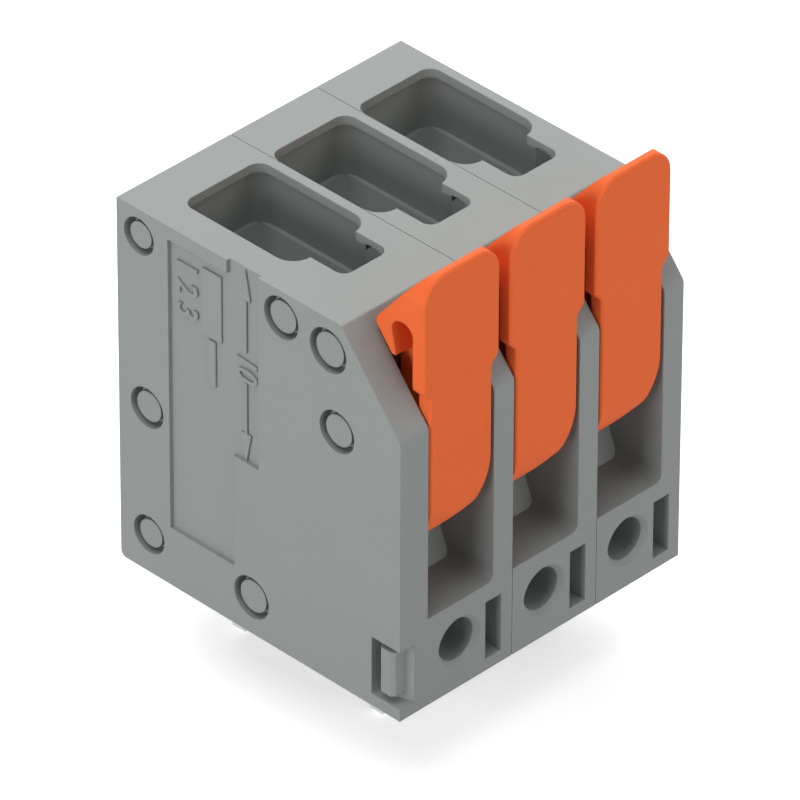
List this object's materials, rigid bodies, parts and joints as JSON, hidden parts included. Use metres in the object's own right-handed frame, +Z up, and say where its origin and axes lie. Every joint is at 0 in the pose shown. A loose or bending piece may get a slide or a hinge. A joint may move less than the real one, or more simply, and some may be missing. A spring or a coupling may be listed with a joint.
{
  "type": "pcb terminal block",
  "caption": "Board-mount terminal block with levers at the front, wire wells on top and solder pins below.",
  "frame": {"origin": "middle of the six solder pins, on the housing underside where it meets the circuit board", "axes": "+X along the poles away from the end plate, -Y towards the levers, +Z up from the board"},
  "size_m": [0.0166, 0.0165, 0.0248],
  "materials": {
    "housing_grey": "fine matt moulded polyamide, mid grey",
    "lever_orange": "satin moulded plastic, orange",
    "contact_tin": "tin-plated copper strip, satin",
    "spring_steel": "stainless spring strip, satin"
  },
  "bodies": {
    "block": {"end_plate": "housing_grey", "housing_1": "housing_grey", "current_bar_1": "contact_tin", "clamp_spring_1": "spring_steel", "housing_2": "housing_grey", "current_bar_2": "contact_tin", "clamp_spring_2": "spring_steel", "housing_3": "housing_grey", "current_bar_3": "contact_tin", "clamp_spring_3": "spring_steel"},
    "lever_1": {"lever_1": "lever_orange"},
    "lever_2": {"lever_2": "lever_orange"},
    "lever_3": {"lever_3": "lever_orange"}
  },
  "joints": [
    {"name": "lever_1_pivot", "type": "hinge", "parent": "block", "child": "lever_1", "pos_m": [-0.005, -0.0063, 0.0098], "axis": [1, 0, 0], "range_deg": [0, 90]},
    {"name": "lever_2_pivot", "type": "hinge", "parent": "block", "child": "lever_2", "pos_m": [0, -0.0063, 0.0098], "axis": [1, 0, 0], "range_deg": [0, 90]},
    {"name": "lever_3_pivot", "type": "hinge", "parent": "block", "child": "lever_3", "pos_m": [0.005, -0.0063, 0.0098], "axis": [1, 0, 0], "range_deg": [0, 90]}
  ]
}
